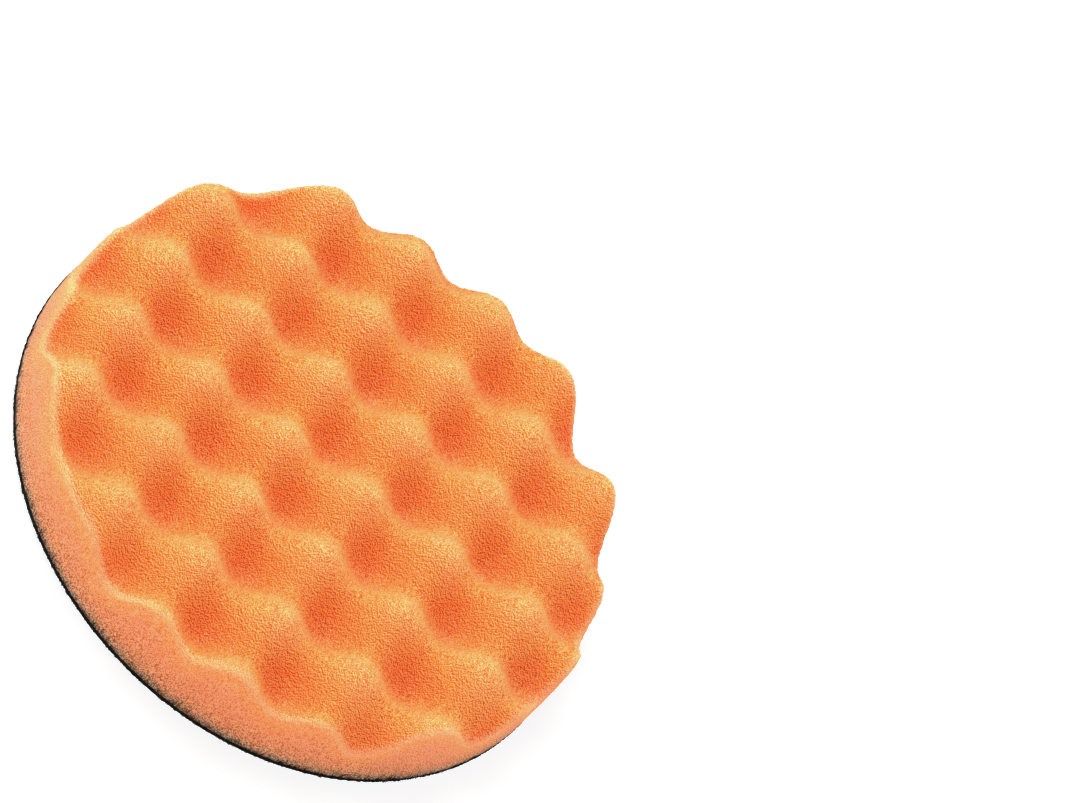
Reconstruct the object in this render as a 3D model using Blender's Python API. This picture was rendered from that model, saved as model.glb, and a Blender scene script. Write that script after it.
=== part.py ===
"""Round foam polishing pad with a convoluted face and a loop cloth back.

The pad lies on its loop cloth. The origin is the centre of the cloth's underside, +Z is the
pad's axis and points out of the foam face. Lengths are in metres.
"""

import math

import bmesh
import bpy

# Driving dimensions of the pad
PAD_RADIUS = 0.066675            # a 5 1/4 inch pad
FACE_MEAN_HEIGHT = 0.0166        # mid height of the foam face above the cloth's underside
FACE_WAVE_HEIGHT = 0.0053        # rise from mid height to a peak, and drop to a pit

# The lattice of pits: two nearly equal steps, not quite at a right angle
PIT_STEP_A = 0.02087
PIT_STEP_B = 0.02075
LATTICE_TURN = math.radians(12.88)       # from +X to the first step
LATTICE_ANGLE = math.radians(85.1)       # from the first step to the second
FIRST_PIT = (-0.02197, 0.00014)

# The laminated back, from the underside up
CLOTH_THICKNESS = 0.0009
FILM_THICKNESS = 0.0002
GAP = 0.0003                     # clear space between two neighbouring pieces
CLOTH_RADIUS = PAD_RADIUS - 0.0003
FILM_RADIUS = PAD_RADIUS - 0.0004

# How finely the round shapes are divided
FACE_DIVISIONS = 52              # squares across the foam face
DISC_SEGMENTS = 4 * FACE_DIVISIONS

FILM_BOTTOM = CLOTH_THICKNESS + GAP
FOAM_BOTTOM = FILM_BOTTOM + FILM_THICKNESS + GAP


def clear_scene():
    """Remove every object that the file opened with."""
    for obj in list(bpy.data.objects):
        bpy.data.objects.remove(obj, do_unlink=True)


def make_material(name, colour, roughness, metallic=0.0):
    """One Principled BSDF material."""
    material = bpy.data.materials.new(name)
    material.use_nodes = True
    material.diffuse_color = (*colour, 1.0)
    shader = material.node_tree.nodes["Principled BSDF"]
    shader.inputs["Base Color"].default_value = (*colour, 1.0)
    shader.inputs["Roughness"].default_value = roughness
    shader.inputs["Metallic"].default_value = metallic
    return material


def add_object(name, bm, material, collection):
    """Turn a bmesh into a named, smooth shaded object of the pad."""
    bmesh.ops.recalc_face_normals(bm, faces=bm.faces)
    mesh = bpy.data.meshes.new(name)
    bm.to_mesh(mesh)
    bm.free()
    mesh.materials.append(material)
    mesh.shade_smooth()
    mesh.set_sharp_from_angle(angle=math.radians(50))
    obj = bpy.data.objects.new(name, mesh)
    collection.objects.link(obj)
    return obj


def square_to_disc(u, v):
    """Draw the square from -1 to 1 out onto the unit disc, so that its outline becomes the circle."""
    return u * math.sqrt(1 - v * v / 2), v * math.sqrt(1 - u * u / 2)


def lattice_place(x, y):
    """Where a point stands on the lattice of pits, counted in steps from the first pit."""
    second_turn = LATTICE_TURN + LATTICE_ANGLE
    ax = PIT_STEP_A * math.cos(LATTICE_TURN)
    ay = PIT_STEP_A * math.sin(LATTICE_TURN)
    bx = PIT_STEP_B * math.cos(second_turn)
    by = PIT_STEP_B * math.sin(second_turn)
    area = ax * by - ay * bx
    dx = x - FIRST_PIT[0]
    dy = y - FIRST_PIT[1]
    return (dx * by - dy * bx) / area, (dy * ax - dx * ay) / area


def face_height(x, y):
    """Height of the convoluted foam face: lowest at each pit, highest between four pits."""
    along_a, along_b = lattice_place(x, y)
    wave = math.cos(2 * math.pi * along_a) + math.cos(2 * math.pi * along_b)
    return FACE_MEAN_HEIGHT - FACE_WAVE_HEIGHT * wave / 2


def foam_disc(material, collection):
    """The foam: a wavy top, a straight cut wall and a flat underside."""
    bm = bmesh.new()
    bmesh.ops.create_grid(bm, x_segments=FACE_DIVISIONS, y_segments=FACE_DIVISIONS, size=1.0)
    for vert in bm.verts:
        x, y = square_to_disc(vert.co.x, vert.co.y)
        x *= PAD_RADIUS
        y *= PAD_RADIUS
        vert.co = (x, y, face_height(x, y))
    rim = [edge for edge in bm.edges if edge.is_boundary]
    wall = bmesh.ops.extrude_edge_only(bm, edges=rim)["geom"]
    for vert in wall:
        if isinstance(vert, bmesh.types.BMVert):
            vert.co.z = FOAM_BOTTOM
    low_rim = [edge for edge in bm.edges if edge.is_boundary]
    bmesh.ops.contextual_create(bm, geom=low_rim)
    return add_object("foam_disc", bm, material, collection)


def flat_disc(name, radius, bottom, thickness, material, collection):
    """One flat layer of the laminated back, placed by its own location."""
    bm = bmesh.new()
    bmesh.ops.create_cone(
        bm,
        cap_ends=True,
        segments=DISC_SEGMENTS,
        radius1=radius,
        radius2=radius,
        depth=thickness,
    )
    obj = add_object(name, bm, material, collection)
    obj.location.z = bottom + thickness / 2
    return obj


def build_pad():
    clear_scene()
    collection = bpy.data.collections.new("polishing_pad")
    bpy.context.scene.collection.children.link(collection)

    orange_foam = make_material("orange_foam", (0.90, 0.30, 0.08), 0.95)
    brown_adhesive = make_material("adhesive_film", (0.35, 0.22, 0.15), 0.6)
    black_loop = make_material("black_loop_cloth", (0.012, 0.012, 0.014), 0.9)

    foam_disc(orange_foam, collection)
    flat_disc(
        "bond_film", FILM_RADIUS, FILM_BOTTOM, FILM_THICKNESS, brown_adhesive, collection
    )
    flat_disc("loop_backing", CLOTH_RADIUS, 0.0, CLOTH_THICKNESS, black_loop, collection)


build_pad()
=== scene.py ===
"""Looks of the foam polishing pad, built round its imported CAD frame. Lengths are in metres."""

import math

import bpy
import numpy as np
from mathutils import Matrix, Vector, noise


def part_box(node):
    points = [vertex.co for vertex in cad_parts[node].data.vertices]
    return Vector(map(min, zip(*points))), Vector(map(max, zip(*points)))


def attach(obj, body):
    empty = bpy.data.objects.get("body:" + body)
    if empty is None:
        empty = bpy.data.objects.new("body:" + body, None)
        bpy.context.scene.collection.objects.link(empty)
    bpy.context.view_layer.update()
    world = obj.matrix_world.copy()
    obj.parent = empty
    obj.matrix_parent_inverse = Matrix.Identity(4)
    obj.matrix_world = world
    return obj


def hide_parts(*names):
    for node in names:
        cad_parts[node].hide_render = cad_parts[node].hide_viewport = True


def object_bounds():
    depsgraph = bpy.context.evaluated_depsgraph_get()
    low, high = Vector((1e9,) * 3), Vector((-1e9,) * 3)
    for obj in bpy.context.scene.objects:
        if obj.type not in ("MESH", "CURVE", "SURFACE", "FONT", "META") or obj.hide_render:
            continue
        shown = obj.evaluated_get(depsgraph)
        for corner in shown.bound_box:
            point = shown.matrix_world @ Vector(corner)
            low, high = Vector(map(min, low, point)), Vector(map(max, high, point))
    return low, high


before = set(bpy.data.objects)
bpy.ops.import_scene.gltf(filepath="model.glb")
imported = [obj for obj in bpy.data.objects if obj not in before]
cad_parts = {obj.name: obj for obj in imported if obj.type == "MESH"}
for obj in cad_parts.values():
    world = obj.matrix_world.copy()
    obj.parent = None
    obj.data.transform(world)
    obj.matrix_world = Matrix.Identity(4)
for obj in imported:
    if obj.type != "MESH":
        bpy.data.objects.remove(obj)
cad_low, cad_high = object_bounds()

# ---------------------------------------------------------------- sizes, from the frame

foam_low, foam_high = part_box("foam_disc")
cloth_low, cloth_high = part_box("loop_backing")

FOAM_RADIUS = foam_high.x
CLOTH_RADIUS = cloth_high.x

# The real layers touch, so the cloth and the foam close the gaps that the CAD solids keep
CLOTH_TOP = cloth_high.z + 0.00025
FOAM_BOTTOM = foam_low.z - 0.0003

# The waves of the face: pits on a lattice of two steps, as in the CAD solid
WAVE = 0.0053                            # from mid height to a peak or a pit
MID_HEIGHT = foam_high.z - WAVE
PLATEAU = 0.065                          # how much fuller the slopes stand than a plain wave
PIT_STEP_A = 0.02087
PIT_STEP_B = 0.02075
LATTICE_TURN = math.radians(12.88)
LATTICE_ANGLE = math.radians(85.1)
FIRST_PIT = (-0.02197, 0.00014)

CREST_ROUND = 0.0015                     # radius of the soft edge between face and wall
FACE_DIVISIONS = 320
CREST_ROWS = 6
WALL_ROWS = 30

GRAIN = 0.00060                          # lumps of the foam's surface
GRAIN_DEPTH = 0.00006
CREST_GRAIN_DEPTH = 0.00030              # more along the crest, where the cells are torn open
CREST_GRAIN_REACH = 0.0018
UNEVEN = 0.011                           # slow unevenness of the cut face and wall
UNEVEN_DEPTH = 0.00016
BASE_FADE = 0.001                        # the roughness fades out this near the glued underside

# The loop cloth: a ground knit with loops below it and cut fibres round its edge
GROUND_BOTTOM = cloth_low.z + 0.00025
GROUND_DIVISIONS = 200
EDGE_RAGGED = 0.00016                    # how far the cut edge wanders in and out
LOOP_STEP = 0.00150                      # from one loop to the next
LOOP_WIDTH = 0.00095
LOOP_DROP = 0.00023
LOOP_SHAKE = 0.3                         # how far a loop strays from its row, in steps
SNIP = 0.0016                            # a cut edge wanders in short nicks
SNIP_RUN = 0.009                         # and in long runs
THREAD = 0.00006                         # radius of one loop's yarn
FIBRE = 0.00007                          # radius of one loose fibre at the edge
FIBRE_DRIFT = 0.0009                     # how far a fibre wanders round the rim
FRINGE_COUNT = 4500                      # short fibres that stick out of the cut edge
FRINGE_START = (0.0001, 0.0011)          # lowest and highest root
FRINGE_RISE = (-0.0001, 0.0006)          # least and most climb
FRINGE_OUT = 0.00050                     # how far they stick out
CLIMBING_COUNT = 3600                    # fibres that cling to the foam's wall
CLIMB_START = (0.0009, 0.0012)
CLIMB_RISE = (0.0002, 0.0032)
CLIMB_OUT = 2 * EDGE_RAGGED + 0.00008
CLIMB_CLEAR = 0.00002                    # between such a fibre and the wall

# The glue film between the cloth and the foam
FILM_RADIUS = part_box("bond_film")[1].x
FILM_DIVISIONS = 90
FILM_RAGGED = 0.0005


# ---------------------------------------------------------------- meshes

def disc_grid(divisions):
    """A square grid drawn out onto the unit disc: its points, its faces and its outline."""
    side = np.linspace(-1, 1, divisions + 1)
    u, v = np.meshgrid(side, side, indexing="ij")
    flat = np.stack([u * np.sqrt(1 - v * v / 2), v * np.sqrt(1 - u * u / 2)], -1)
    index = np.arange(u.size).reshape(u.shape)
    corners = (index[:-1, :-1], index[1:, :-1], index[1:, 1:], index[:-1, 1:])
    faces = np.stack(corners, -1).reshape(-1, 4)
    sides = (index[:-1, 0], index[-1, :-1], index[:0:-1, -1], index[0, :0:-1])
    return flat.reshape(-1, 2), faces, np.concatenate(sides)


def ring_faces(upper, lower):
    """Faces between two closed rings of points, the lower one further down the wall."""
    return np.stack([upper, lower, np.roll(lower, -1), np.roll(upper, -1)], -1)


def mesh_object(name, points, faces, material, caps=()):
    """A smooth shaded object from arrays of points and of four-sided faces, and lists of caps."""
    mesh = bpy.data.meshes.new(name)
    mesh.from_pydata(points.tolist(), [], faces.tolist() + [list(cap) for cap in caps])
    mesh.materials.append(material)
    mesh.shade_smooth()
    obj = bpy.data.objects.new(name, mesh)
    bpy.context.scene.collection.objects.link(obj)
    return obj


def points_of(obj):
    points = np.empty(len(obj.data.vertices) * 3, np.float32)
    obj.data.vertices.foreach_get("co", points)
    return points.reshape(-1, 3).astype(float)


def normals_of(obj):
    normals = np.empty(len(obj.data.vertices) * 3, np.float32)
    obj.data.vertex_normals.foreach_get("vector", normals)
    return normals.reshape(-1, 3).astype(float)


def set_points(obj, points):
    obj.data.vertices.foreach_set("co", points.astype(np.float32).ravel())
    obj.data.update()


def set_attribute(obj, name, values):
    """One number for each point, for the materials to read."""
    layer = obj.data.attributes.new(name, "FLOAT", "POINT")
    layer.data.foreach_set("value", values.astype(np.float32))


def noise_at(points, size, seed):
    """Smooth noise from about -1 to 1 at each point, with features of the given size."""
    offset = Vector((seed * 17.3, seed * 5.1, seed * 9.7))
    return np.array([noise.noise(Vector(p) / size + offset) for p in points])


# ---------------------------------------------------------------- foam

def lattice_place(x, y):
    """Where points stand on the lattice of pits, counted in steps from the first pit."""
    second_turn = LATTICE_TURN + LATTICE_ANGLE
    steps = np.array(
        [
            [PIT_STEP_A * math.cos(LATTICE_TURN), PIT_STEP_B * math.cos(second_turn)],
            [PIT_STEP_A * math.sin(LATTICE_TURN), PIT_STEP_B * math.sin(second_turn)],
        ]
    )
    along = np.linalg.inv(steps)
    dx = x - FIRST_PIT[0]
    dy = y - FIRST_PIT[1]
    return along[0, 0] * dx + along[0, 1] * dy, along[1, 0] * dx + along[1, 1] * dy


def face_height(x, y):
    along_a, along_b = lattice_place(x, y)
    wave = (np.cos(2 * math.pi * along_a) + np.cos(2 * math.pi * along_b)) / 2
    return MID_HEIGHT - WAVE * (wave - PLATEAU * (1 - wave ** 2))


def radial_slope(radius, turn):
    """Rise of the face per metre outwards, at the given polar place."""
    step = 1e-5
    outer = face_height((radius + step) * np.cos(turn), (radius + step) * np.sin(turn))
    inner = face_height((radius - step) * np.cos(turn), (radius - step) * np.sin(turn))
    return (outer - inner) / (2 * step)


def build_foam(material):
    """The foam: the wavy face, a rounded crest, the straight cut wall and the flat underside."""
    flat, faces, outline = disc_grid(FACE_DIVISIONS)
    turn = np.arctan2(flat[:, 1], flat[:, 0])
    reach = np.hypot(flat[:, 0], flat[:, 1])
    tilt = -np.arctan(radial_slope(FOAM_RADIUS - CREST_ROUND, turn))
    face_radius = FOAM_RADIUS - CREST_ROUND * (1 - np.sin(tilt))
    radius = reach * (FOAM_RADIUS + (face_radius - FOAM_RADIUS) * reach ** 2)
    x = radius * np.cos(turn)
    y = radius * np.sin(turn)
    rings = [np.stack([x, y, face_height(x, y)], -1)]
    cut = [np.zeros(len(flat))]
    crest = (math.pi / 2 + tilt) / 2
    past = [radius - face_radius - CREST_ROUND * (crest - tilt)]

    rim_turn = turn[outline]
    start = tilt[outline]
    start_radius = radius[outline]
    start_height = rings[0][outline, 2]
    upper = outline
    count = len(flat)
    for row in range(1, CREST_ROWS + WALL_ROWS + 1):
        bend = start + (math.pi / 2 - start) * min(row / CREST_ROWS, 1)
        ring_radius = start_radius + CREST_ROUND * (np.sin(bend) - np.sin(start))
        crest_height = start_height - CREST_ROUND * (np.cos(start) - np.cos(bend))
        down = max(row - CREST_ROWS, 0) / WALL_ROWS
        height = crest_height + (FOAM_BOTTOM - crest_height) * down
        ring = [ring_radius * np.cos(rim_turn), ring_radius * np.sin(rim_turn), height]
        rings.append(np.stack(ring, -1))
        cut.append(np.full(len(outline), min(row / CREST_ROWS, 1)))
        past.append(CREST_ROUND * (bend - crest[outline]) + crest_height - height)
        lower = count + np.arange(len(outline))
        faces = np.concatenate([faces, ring_faces(upper, lower)])
        upper = lower
        count += len(outline)
    foam = mesh_object("foam", np.concatenate(rings), faces, material, [upper[::-1]])
    set_attribute(foam, "cut", np.concatenate(cut))
    past = np.concatenate(past)
    set_attribute(foam, "past_crest", past)
    roughen_foam(foam, np.exp(-((past / CREST_GRAIN_REACH) ** 2)))
    return foam


def roughen_foam(foam, near_crest):
    """Move the points by the foam's own lumps and by the slow unevenness of its cutting."""
    points = points_of(foam)
    depth = GRAIN_DEPTH + (CREST_GRAIN_DEPTH - GRAIN_DEPTH) * near_crest
    grain = noise_at(points, GRAIN, 1) + 0.6 * (1 - near_crest) * noise_at(points, GRAIN * 2.1, 2)
    slow = noise_at(points, UNEVEN, 3)
    inside = np.clip((points[:, 2] - FOAM_BOTTOM) / BASE_FADE, 0, 1)
    move = (grain * depth + slow * UNEVEN_DEPTH) * inside
    set_points(foam, points + normals_of(foam) * move[:, None])


# ---------------------------------------------------------------- cloth and film

def build_layer(name, divisions, radius, ragged, bottom, top, seed, material):
    """A thin flat layer with a slightly wandering cut edge."""
    flat, faces, outline = disc_grid(divisions)
    turn = np.arctan2(flat[:, 1], flat[:, 0])
    around = np.stack([np.cos(turn), np.sin(turn), np.zeros(len(turn))], -1) * radius
    rim = around[outline]
    wander = noise_at(rim, SNIP, seed) + noise_at(rim, SNIP_RUN, seed + 1)
    reach = np.hypot(flat[:, 0], flat[:, 1])[:, None]
    at_edge = np.zeros(len(flat))
    at_edge[outline] = ragged * (wander * 0.5 - 0.5)
    plan = around * reach + around / radius * at_edge[:, None]
    upper = plan + [0, 0, top]
    lower = plan + [0, 0, bottom]
    bulge = rim * (1 + ragged / radius) + [0, 0, (top + bottom) / 2]
    bulge = bulge + rim / radius * at_edge[outline][:, None]
    count = len(flat)
    middle = 2 * count + np.arange(len(outline))
    sides = [ring_faces(outline, middle), ring_faces(middle, outline + count)]
    all_faces = np.concatenate([faces, faces[:, ::-1] + count] + sides)
    return mesh_object(name, np.concatenate([upper, lower, bulge]), all_faces, material)


def tubes(paths, radius):
    """Thin three-sided threads along many paths: their points and faces."""
    along = np.gradient(paths, axis=1)
    along /= np.linalg.norm(along, axis=2, keepdims=True) + 1e-12
    guide = np.where(np.abs(along[..., 2:]) < 0.9, [0.0, 0.0, 1.0], [1.0, 0.0, 0.0])
    first = np.cross(along, guide)
    first /= np.linalg.norm(first, axis=2, keepdims=True) + 1e-12
    second = np.cross(along, first)
    corners = [math.radians(angle) for angle in (90, 210, 330)]
    rings = [first * math.cos(a) + second * math.sin(a) for a in corners]
    points = paths[:, :, None] + np.stack(rings, 2) * radius[:, None, None, None]
    index = np.arange(points[..., 0].size).reshape(points.shape[:3])
    near, far = index[:, :-1], index[:, 1:]
    quads = [near, np.roll(near, -1, 2), np.roll(far, -1, 2), far]
    return points.reshape(-1, 3), np.stack(quads, -1).reshape(-1, 4)


def loop_paths(random):
    """The loops below the ground knit, in slightly shaken rows."""
    half = int(CLOTH_RADIUS / LOOP_STEP)
    row, column = np.meshgrid(np.arange(-half, half + 1), np.arange(-half, half + 1))
    x = (row + 0.5 * (column % 2)).ravel() * LOOP_STEP
    y = column.ravel() * LOOP_STEP
    x = x + random.uniform(-LOOP_SHAKE, LOOP_SHAKE, x.size) * LOOP_STEP
    y = y + random.uniform(-LOOP_SHAKE, LOOP_SHAKE, y.size) * LOOP_STEP
    inside = np.hypot(x, y) < CLOTH_RADIUS - LOOP_WIDTH / 2
    x, y = x[inside], y[inside]
    turn = random.uniform(0, math.pi, x.size)
    lean = random.uniform(-0.6, 0.6, x.size) * LOOP_DROP
    width = LOOP_WIDTH * random.uniform(0.7, 1.15, x.size)
    drop = LOOP_DROP * random.uniform(0.75, 0.98, x.size)
    steps = np.linspace(0, math.pi, 6)
    across = np.cos(steps)[None] * width[:, None] / 2
    down = np.sin(steps)[None] * drop[:, None]
    aside = np.sin(steps)[None] * lean[:, None]
    path_x = x[:, None] + across * np.cos(turn)[:, None] - aside * np.sin(turn)[:, None]
    path_y = y[:, None] + across * np.sin(turn)[:, None] + aside * np.cos(turn)[:, None]
    return np.stack([path_x, path_y, GROUND_BOTTOM + THREAD * 0.5 - down], -1)


def edge_paths(random, count, start, rise, out):
    """Loose fibres round the rim: height where they start, how far they climb and stick out."""
    turn = random.uniform(0, 2 * math.pi, count)
    steps = np.linspace(0, 1, 4)[None]
    height = random.uniform(*start, count)[:, None] + random.uniform(*rise, count)[:, None] * steps
    bow = random.uniform(0.2, 1.0, count)[:, None] * np.sin(steps * math.pi * 0.8)
    radius = FOAM_RADIUS - 2 * EDGE_RAGGED + out * np.clip(bow + steps * 0.5, 0, 1)
    curl = random.uniform(-1, 1, count)[:, None] * np.sin(steps * 2.4)
    drift = random.uniform(-1, 1, count)[:, None] * steps + curl * 0.5
    turn = turn[:, None] + drift * FIBRE_DRIFT / CLOTH_RADIUS
    return np.stack([radius * np.cos(turn), radius * np.sin(turn), height], -1)


def build_threads(name, families, material):
    """One object of all the threads in the given families of paths."""
    points = []
    faces = []
    count = 0
    for paths, radius in families:
        new_points, new_faces = tubes(paths, radius)
        points.append(new_points)
        faces.append(new_faces + count)
        count += len(new_points)
    return mesh_object(name, np.concatenate(points), np.concatenate(faces), material)


def climbing_paths(random):
    """Fibres that start in the cloth's edge and cling to the foam's wall, most of them short."""
    paths = edge_paths(random, CLIMBING_COUNT, CLIMB_START, CLIMB_RISE, CLIMB_OUT)
    above_cloth = paths[..., 2] > CLOTH_TOP
    radial = np.hypot(paths[..., 0], paths[..., 1])
    outside = np.maximum(radial, np.where(above_cloth, FOAM_RADIUS + CLIMB_CLEAR, 0))
    paths[..., :2] *= (outside / radial)[..., None]
    keep = random.uniform(0, 1, CLIMBING_COUNT) ** 2
    root = paths[:, :1, 2]
    paths[..., 2] = root + (paths[..., 2] - root) * keep[:, None]
    return paths


def build_cloth(material):
    """The loop cloth: ground knit, loops underneath and loose fibres round the cut edge."""
    random = np.random.default_rng(7)
    ground = build_layer(
        "cloth_ground", GROUND_DIVISIONS, FOAM_RADIUS, EDGE_RAGGED, GROUND_BOTTOM, CLOTH_TOP, 4, material
    )
    loops = loop_paths(random)
    pile = build_threads("cloth_loops", [(loops, np.full(len(loops), THREAD))], material)
    fringe = edge_paths(random, FRINGE_COUNT, FRINGE_START, FRINGE_RISE, FRINGE_OUT)
    climbing = climbing_paths(random)
    families = [
        (fringe, FIBRE * random.uniform(0.6, 1.3, len(fringe))),
        (climbing, FIBRE * random.uniform(0.5, 1.1, len(climbing))),
    ]
    fuzz = build_threads("cloth_edge_fibres", families, material)
    return [ground, pile, fuzz]


# ---------------------------------------------------------------- materials

class Nodes:
    """Short ways to add and join the nodes of one material."""

    def __init__(self, name):
        self.material = bpy.data.materials.new(name)
        self.material.use_nodes = True
        self.tree = self.material.node_tree
        self.shader = self.tree.nodes["Principled BSDF"]
        self.place = self.add("ShaderNodeTexCoord").outputs["Object"]

    def add(self, kind, **settings):
        node = self.tree.nodes.new(kind)
        for name, value in settings.items():
            setattr(node, name, value)
        return node

    def put(self, value, socket):
        """Join an output to an input, or set the input to a plain value."""
        if isinstance(value, bpy.types.NodeSocket):
            self.tree.links.new(value, socket)
        elif isinstance(value, tuple) and len(value) == 3 and socket.type == "RGBA":
            socket.default_value = (*value, 1)
        else:
            socket.default_value = value

    def math(self, operation, first, second=0.0, clamp=False):
        node = self.add("ShaderNodeMath", operation=operation, use_clamp=clamp)
        self.put(first, node.inputs[0])
        self.put(second, node.inputs[1])
        return node.outputs[0]

    def span(self, value, low, high, new_low=0.0, new_high=1.0, smooth=False):
        """Bring a value from one range to another, held inside it."""
        node = self.add("ShaderNodeMapRange", clamp=True)
        if smooth:
            node.interpolation_type = "SMOOTHSTEP"
        for number, item in enumerate((value, low, high, new_low, new_high)):
            self.put(item, node.inputs[number])
        return node.outputs[0]

    def noise(self, size, detail=2.0, shift=(0.0, 0.0, 0.0)):
        """Smooth noise from 0 to 1 with features of the given size, all in metres."""
        moved = self.add("ShaderNodeVectorMath", operation="ADD")
        self.put(self.place, moved.inputs[0])
        self.put(shift, moved.inputs[1])
        node = self.add("ShaderNodeTexNoise")
        self.put(moved.outputs[0], node.inputs["Vector"])
        self.put(1 / size, node.inputs["Scale"])
        self.put(detail, node.inputs["Detail"])
        return node.outputs[0]

    def cells(self, size, jitter=1.0):
        """Distance from the nearest cell's centre, for cells of the given size."""
        node = self.add("ShaderNodeTexVoronoi")
        self.put(self.place, node.inputs["Vector"])
        self.put(1 / size, node.inputs["Scale"])
        self.put(jitter, node.inputs["Randomness"])
        return node.outputs["Distance"]

    def height(self):
        node = self.add("ShaderNodeSeparateXYZ")
        self.put(self.place, node.inputs[0])
        return node.outputs["Z"]

    def attribute(self, name):
        return self.add("ShaderNodeAttribute", attribute_name=name).outputs["Fac"]

    def mix(self, share, first, second, blend="MIX"):
        node = self.add("ShaderNodeMix", data_type="RGBA", blend_type=blend)
        self.put(share, node.inputs["Factor"])
        self.put(first, node.inputs[6])
        self.put(second, node.inputs[7])
        return node.outputs[2]

    def ramp(self, value, stops):
        """A smooth run of colours, each at its own place from 0 to 1."""
        node = self.add("ShaderNodeValToRGB")
        node.color_ramp.interpolation = "LINEAR"
        elements = node.color_ramp.elements
        while len(elements) < len(stops):
            elements.new(0.5)
        for element, (place, colour) in zip(elements, stops):
            element.position = place
            element.color = (*colour, 1)
        self.put(value, node.inputs[0])
        return node.outputs[0]

    def grey(self, value):
        node = self.add("ShaderNodeCombineColor")
        for socket in node.inputs:
            self.put(value, socket)
        return node.outputs[0]

    def bump(self, height, depth):
        node = self.add("ShaderNodeBump")
        self.put(height, node.inputs["Height"])
        self.put(depth, node.inputs["Distance"])
        return node.outputs[0]


# The foam's colours by height: painted shade deep in the pits, painted light on the peaks, and a painted
# highlight along the crest of the cut edge
PIT_SHADED_COLOUR = (0.95, 0.176, 0.043)
LOW_SHADED_COLOUR = (0.95, 0.190, 0.039)
SLOPE_LIT_COLOUR = (0.95, 0.239, 0.053)
PEAK_LIT_COLOUR = (0.95, 0.280, 0.081)
BLOTCH = 0.006                           # size of the uneven patches of dye
BLOTCH_SHARE = 0.25
WALL_TOP_COLOUR = (0.86, 0.264, 0.077)
WALL_COLOUR = (0.75, 0.230, 0.089)
WALL_FADE = (0.001, 0.008)               # below the crest, from the one colour to the other
CREST_HIGHLIGHT_COLOUR = (0.98, 0.400, 0.200)      # painted highlight: the pale band along the crest, where the cut edge catches the light
CREST_HIGHLIGHT_SHARE = 0.42
CREST_REACH = 0.0019

# Glue and lint at the foot of the wall
GLUE_COLOUR = (0.78, 0.264, 0.158)
GLUE_SHARE = 0.7
GLUE_RISE = 0.0035                       # how far the laminating glue soaks up the foam
LINT_COLOUR = (0.130, 0.036, 0.024)      # black lint from the cloth, caught in the foam
LINT_SHARE = 0.75
LINT_SIZE = 0.0003
LINT_LEVEL = (0.48, 0.72)                # noise above this is lint, at the cloth and at GLUE_RISE
LINT_SOFTNESS = 0.06

# The grain: pores and struts of the foam's cells, their colour partly the foam's own and partly painted
# light and shade
STRUT_SIZE = 0.00026
STRUT_SHIFT = (0.0, 0.00024, 0.00018)    # painted light and shade: each strut's colour is lighter on its lit side and darker behind
STRUT_SWING = 0.13                       # this much noise makes a full strut or a full pore
STRUT_DEPTH = 0.0007
PORE_TONE_AND_SHADE = (0.52, 0.42, 0.14)          # what the pores and the struts do to the colours: their own grain, with painted shade in the pores and painted light on the struts
STRUT_TONE_AND_LIGHT = (1.60, 1.62, 2.15)
FACE_CONTRAST = (1.40, 1.00)             # at EVEN_RISE, and at the peaks and pits
WALL_CONTRAST = (1.05, 0.62)             # at the cloth, and from WALL_PLAIN up
WALL_PLAIN = 0.009
EVEN_RISE = 0.45                         # the face's grain, with its painted light and shade, is strongest at this share of its rise, where the light grazes the slopes
CREST_CONTRAST = 0.5

# Light that soaks into the foam: how much, how far, and how far in each colour
SCATTER_SHARE = 0.75
SCATTER_REACH = 0.015
SCATTER_COLOURS = (1.0, 0.09, 0.04)


def foam_colour(n, rise, above_glue, cut, past_crest, crest):
    """The foam's colour before its grain, with painted shade in the pits, painted light on the peaks and a
    painted highlight along the crest.
    """
    blotch = n.math("MULTIPLY", n.math("SUBTRACT", n.noise(BLOTCH, 3), 0.5), BLOTCH_SHARE)
    tone = n.math("ADD", rise, blotch, clamp=True)
    # painted shade and light: the ramp darkens the colour in the pits and lightens it on the peaks
    stops = [(0.0, PIT_SHADED_COLOUR), (0.3, LOW_SHADED_COLOUR), (0.6, SLOPE_LIT_COLOUR), (1.0, PEAK_LIT_COLOUR)]
    face = n.ramp(tone, stops)
    wall = n.mix(n.span(past_crest, *WALL_FADE, smooth=True), WALL_TOP_COLOUR, WALL_COLOUR)
    colour = n.mix(n.span(cut, 0.4, 1.0, smooth=True), face, wall)
    # painted highlight along the crest
    colour = n.mix(n.math("MULTIPLY", crest, CREST_HIGHLIGHT_SHARE), colour, CREST_HIGHLIGHT_COLOUR)

    glue = n.span(above_glue, 0.0, GLUE_RISE, 1.0, 0.0)
    colour = n.mix(n.math("MULTIPLY", glue, GLUE_SHARE), colour, GLUE_COLOUR)
    level = n.span(above_glue, 0.0, GLUE_RISE, *LINT_LEVEL)
    lint = n.span(n.noise(LINT_SIZE, 1), level, n.math("ADD", level, LINT_SOFTNESS))
    return n.mix(n.math("MULTIPLY", lint, LINT_SHARE), colour, LINT_COLOUR)


def grain_contrast(n, rise, above_glue, cut, crest):
    """How strong the grain stands: most on the slopes of the face, where its painted light and shade stand
    for the light grazing them, and at the foot of the wall.
    """
    from_middle = n.math("ABSOLUTE", n.math("SUBTRACT", rise, EVEN_RISE))
    on_face = n.span(from_middle, 0.0, 0.5, *FACE_CONTRAST)
    on_wall = n.span(above_glue, 0.0, WALL_PLAIN, *WALL_CONTRAST)
    both = n.math("ADD", on_face, n.math("MULTIPLY", cut, n.math("SUBTRACT", on_wall, on_face)))
    return n.math("MULTIPLY", both, n.span(crest, 0.0, 1.0, 1.0, CREST_CONTRAST))


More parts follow.
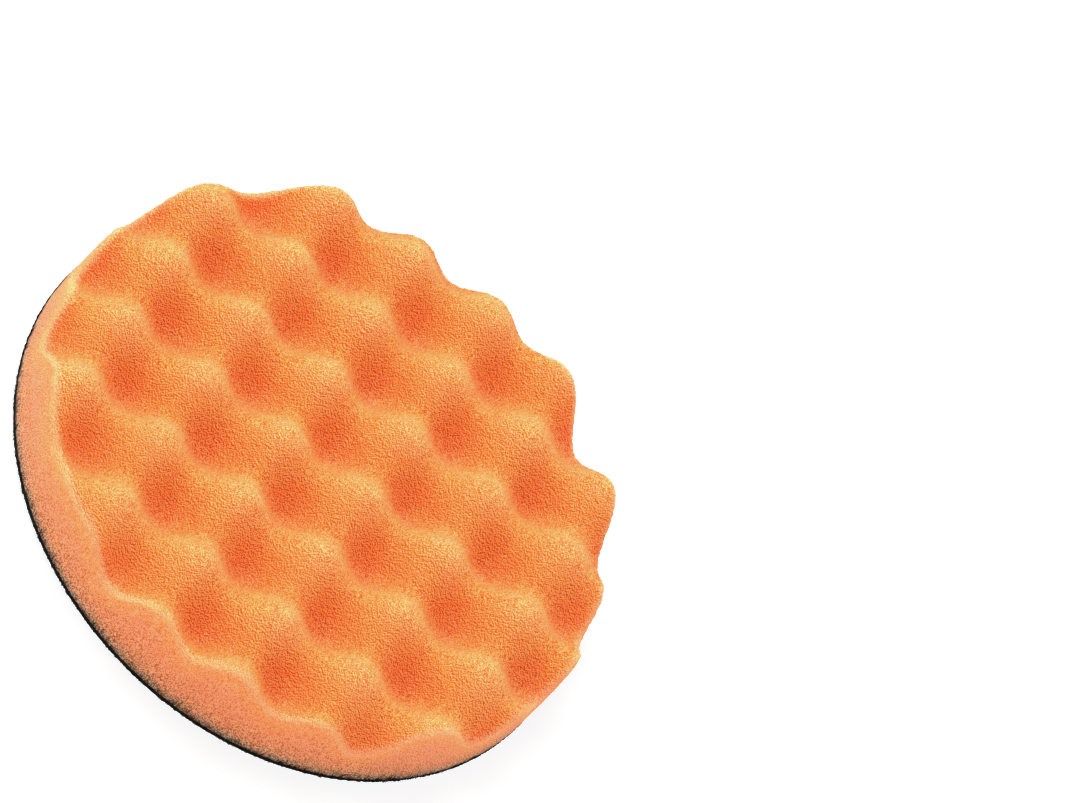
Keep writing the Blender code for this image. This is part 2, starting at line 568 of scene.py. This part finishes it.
def foam_material():
    """Open-cell foam: a grain of struts and pores with painted light and shade, light that soaks in, and
    colour by height with painted shade in the pits and painted light on the peaks.
    """
    n = Nodes("foam_look")
    rise = n.span(n.height(), MID_HEIGHT - WAVE, MID_HEIGHT + WAVE)
    above_glue = n.math("SUBTRACT", n.height(), FOAM_BOTTOM)
    cut = n.attribute("cut")
    past_crest = n.attribute("past_crest")
    crest = n.span(n.math("ABSOLUTE", past_crest), 0.0, CREST_REACH, 1.0, 0.0, smooth=True)
    colour = foam_colour(n, rise, above_glue, cut, past_crest, crest)

    contrast = grain_contrast(n, rise, above_glue, cut, crest)
    strut = n.noise(STRUT_SIZE, 0)
    behind = n.noise(STRUT_SIZE, 0, STRUT_SHIFT)
    lit = n.span(n.math("SUBTRACT", strut, behind), -STRUT_SWING, STRUT_SWING, -0.5, 0.5)
    # painted light and shade: the grain's colour is lighter on each strut's lit side and darker behind it
    # and in the pores
    shade = n.mix(n.math("ADD", n.math("MULTIPLY", lit, contrast), 0.5), PORE_TONE_AND_SHADE, STRUT_TONE_AND_LIGHT)
    n.put(n.mix(1.0, colour, shade, "MULTIPLY"), n.shader.inputs["Base Color"])

    relief = n.bump(n.math("MULTIPLY", strut, contrast), STRUT_DEPTH)
    n.put(relief, n.shader.inputs["Normal"])
    n.put(n.span(strut, 0.3, 0.7, 1.0, 0.8), n.shader.inputs["Roughness"])
    n.put(0.25, n.shader.inputs["Specular IOR Level"])
    n.put(SCATTER_SHARE, n.shader.inputs["Subsurface Weight"])
    n.put(SCATTER_COLOURS, n.shader.inputs["Subsurface Radius"])
    n.put(SCATTER_REACH, n.shader.inputs["Subsurface Scale"])
    return n.material


CLOTH_COLOUR = (0.0040, 0.0030, 0.0026)
CLOTH_SHINE = (0.014, 0.012, 0.011)      # where a filament catches the light
FILAMENT = 0.00035
KNIT_STITCH = 0.0011
KNIT_DEPTH = 0.00012
BRUSH_PATCH = 0.007                      # patches where the pile was brushed another way


def cloth_material():
    """Black nylon: knitted ribs, fine filaments and a faint sheen."""
    n = Nodes("loop_cloth_look")
    filament = n.noise(FILAMENT, 2)
    lit = n.span(filament, 0.50, 0.72)
    patch = n.span(n.noise(BRUSH_PATCH, 2), 0.3, 0.7, 0.6, 1.2)
    colour = n.mix(lit, CLOTH_COLOUR, CLOTH_SHINE)
    colour = n.mix(1.0, colour, n.grey(patch), "MULTIPLY")
    n.put(colour, n.shader.inputs["Base Color"])
    knit = n.cells(KNIT_STITCH, jitter=0.6)
    relief = n.math("ADD", n.span(knit, 0.0, 0.7, 1.0, 0.0), n.math("MULTIPLY", filament, 0.6))
    n.put(n.bump(relief, KNIT_DEPTH), n.shader.inputs["Normal"])
    n.put(n.span(filament, 0.3, 0.7, 0.85, 0.60), n.shader.inputs["Roughness"])
    n.put(0.12, n.shader.inputs["Specular IOR Level"])
    n.put(0.02, n.shader.inputs["Sheen Weight"])
    n.put(0.5, n.shader.inputs["Sheen Roughness"])
    return n.material


FILM_COLOUR = (0.110, 0.055, 0.032)
FILM_THIN = (0.260, 0.130, 0.070)
FILM_PATCH = 0.0022
FILM_BUBBLE = 0.0016
FILM_DEPTH = 0.0001


def film_material():
    """Dried laminating glue: brown, glossy where it is thick, dull and pale where it is thin."""
    n = Nodes("bond_film_look")
    thin = n.span(n.noise(FILM_PATCH, 3), 0.40, 0.65)
    bubble = n.span(n.cells(FILM_BUBBLE), 0.10, 0.22, 1.0, 0.0)
    n.put(n.mix(thin, FILM_COLOUR, FILM_THIN), n.shader.inputs["Base Color"])
    n.put(n.span(thin, 0.0, 1.0, 0.25, 0.65), n.shader.inputs["Roughness"])
    relief = n.math("ADD", thin, n.math("MULTIPLY", bubble, 0.5))
    n.put(n.bump(relief, FILM_DEPTH), n.shader.inputs["Normal"])
    return n.material


# ---------------------------------------------------------------- studio

# The view: the pad's tilt from facing the camera, and its turn within the picture
VIEW_TILT = math.radians(43.13)
VIEW_ROLL = math.radians(45.80)
VIEW_DISTANCE = 50.4                     # in cloth radii
PICTURE_WIDTH = 3.438                    # in cloth radii, at the pad
PAD_LEFT_OF_CENTRE = 0.791               # in cloth radii
PAD_BELOW_CENTRE = 0.311
SENSOR_WIDTH = 36.0


def view_axes():
    """The picture's right and up, and the way towards the camera."""
    towards = Vector((0, -math.sin(VIEW_TILT), math.cos(VIEW_TILT)))
    unrolled_up = Vector((0, math.cos(VIEW_TILT), math.sin(VIEW_TILT)))
    sideways = Vector((1, 0, 0))
    right = sideways * math.cos(VIEW_ROLL) + unrolled_up * math.sin(VIEW_ROLL)
    up = unrolled_up * math.cos(VIEW_ROLL) - sideways * math.sin(VIEW_ROLL)
    return right, up, towards


def build_camera():
    right, up, towards = view_axes()
    data = bpy.data.cameras.new("camera")
    data.sensor_width = SENSOR_WIDTH
    data.lens = SENSOR_WIDTH * VIEW_DISTANCE / PICTURE_WIDTH
    camera = bpy.data.objects.new("camera", data)
    place = right * PAD_LEFT_OF_CENTRE + up * PAD_BELOW_CENTRE + towards * VIEW_DISTANCE
    turn = Matrix((right, up, towards)).transposed().to_4x4()
    camera.matrix_world = Matrix.Translation(place * CLOTH_RADIUS) @ turn
    data.clip_end = 100
    bpy.context.scene.collection.objects.link(camera)
    bpy.context.scene.camera = camera


# The light: a weak even sky and three very wide soft lamps
SKY_LIGHT = 0.20
KEY_LIGHT = 1.56                         # brightness it gives a white card that faces it
KEY_WAY = (155, 55)                      # azimuth and elevation of the lamp, in degrees
FILL_LIGHT = 0.50
FILL_WAY = (45, 32)
FRONT_LIGHT = 0.60
FRONT_WAY = (268, 32)
LAMP_SPREAD = math.radians(50)
FLOOR_REACH = 20.0                       # half the side of the sweep
FLOOR_GLOW = 1.3                         # the sweep glows, for the camera only

# How the film answers to light: straight up to mid tones, then ever more slowly to white
FILM_WHITE = 2.4
FILM_CURVE = [
    (0.0, 0.0),
    (0.5, 0.5),
    (0.65, 0.675),
    (0.80, 0.815),
    (0.95, 0.868),
    (1.3, 0.892),
    (1.8, 0.915),
    (2.4, 1.0),
]


def add_lamp(name, strength, way):
    """A very wide soft light from one direction."""
    azimuth = math.radians(way[0])
    elevation = math.radians(way[1])
    level = math.cos(elevation)
    towards = Vector((level * math.cos(azimuth), level * math.sin(azimuth), math.sin(elevation)))
    lamp = bpy.data.lights.new(name, "SUN")
    lamp.energy = strength * math.pi
    lamp.angle = LAMP_SPREAD
    obj = bpy.data.objects.new(name, lamp)
    obj.rotation_euler = towards.to_track_quat("Z", "Y").to_euler()
    bpy.context.scene.collection.objects.link(obj)


def build_sky():
    """Even white light from all round; the camera sees it as the same white as the floor."""
    world = bpy.data.worlds.new("studio")
    world.use_nodes = True
    tree = world.node_tree
    background = tree.nodes["Background"]
    seen = tree.nodes.new("ShaderNodeLightPath").outputs["Is Camera Ray"]
    strength = tree.nodes.new("ShaderNodeMapRange")
    strength.inputs["To Min"].default_value = SKY_LIGHT
    strength.inputs["To Max"].default_value = FILM_WHITE
    tree.links.new(seen, strength.inputs["Value"])
    tree.links.new(strength.outputs[0], background.inputs["Strength"])
    background.inputs["Color"].default_value = (1, 1, 1, 1)
    bpy.context.scene.world = world


def set_film():
    view = bpy.context.scene.view_settings
    view.view_transform = "Standard"
    view.use_curve_mapping = True
    mapping = view.curve_mapping
    mapping.white_level = (FILM_WHITE,) * 3
    points = mapping.curves[3].points
    while len(points) < len(FILM_CURVE):
        points.new(0.5, 0.5)
    for point, (light, shown) in zip(points, FILM_CURVE):
        point.location = (light / FILM_WHITE, shown)
    mapping.update()


def floor_material():
    n = Nodes("floor_look")
    n.put((0.8, 0.8, 0.8), n.shader.inputs["Base Color"])
    n.put(0.9, n.shader.inputs["Roughness"])
    n.put(0.0, n.shader.inputs["Specular IOR Level"])
    n.put((1.0, 1.0, 1.0), n.shader.inputs["Emission Color"])
    seen = n.add("ShaderNodeLightPath").outputs["Is Camera Ray"]
    n.put(n.math("MULTIPLY", seen, FLOOR_GLOW), n.shader.inputs["Emission Strength"])
    return n.material


def build_floor():
    corners = np.array([[-1, -1, 0], [1, -1, 0], [1, 1, 0], [-1, 1, 0]]) * FLOOR_REACH
    floor = mesh_object("floor", corners, np.array([[0, 1, 2, 3]]), floor_material())
    floor.location.z = cad_low.z


def build_studio():
    build_sky()
    set_film()
    add_lamp("key", KEY_LIGHT, KEY_WAY)
    add_lamp("fill", FILL_LIGHT, FILL_WAY)
    add_lamp("front", FRONT_LIGHT, FRONT_WAY)
    build_floor()


# ---------------------------------------------------------------- the pad

foam = build_foam(foam_material())
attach(foam, "root")
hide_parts("foam_disc")

film = build_layer(
    "bond_film_layer", FILM_DIVISIONS, FILM_RADIUS, FILM_RAGGED, CLOTH_TOP, FOAM_BOTTOM, 8, film_material()
)
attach(film, "root")
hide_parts("bond_film")

for piece in build_cloth(cloth_material()):
    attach(piece, "root")
    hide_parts("loop_backing")

build_studio()
build_camera()
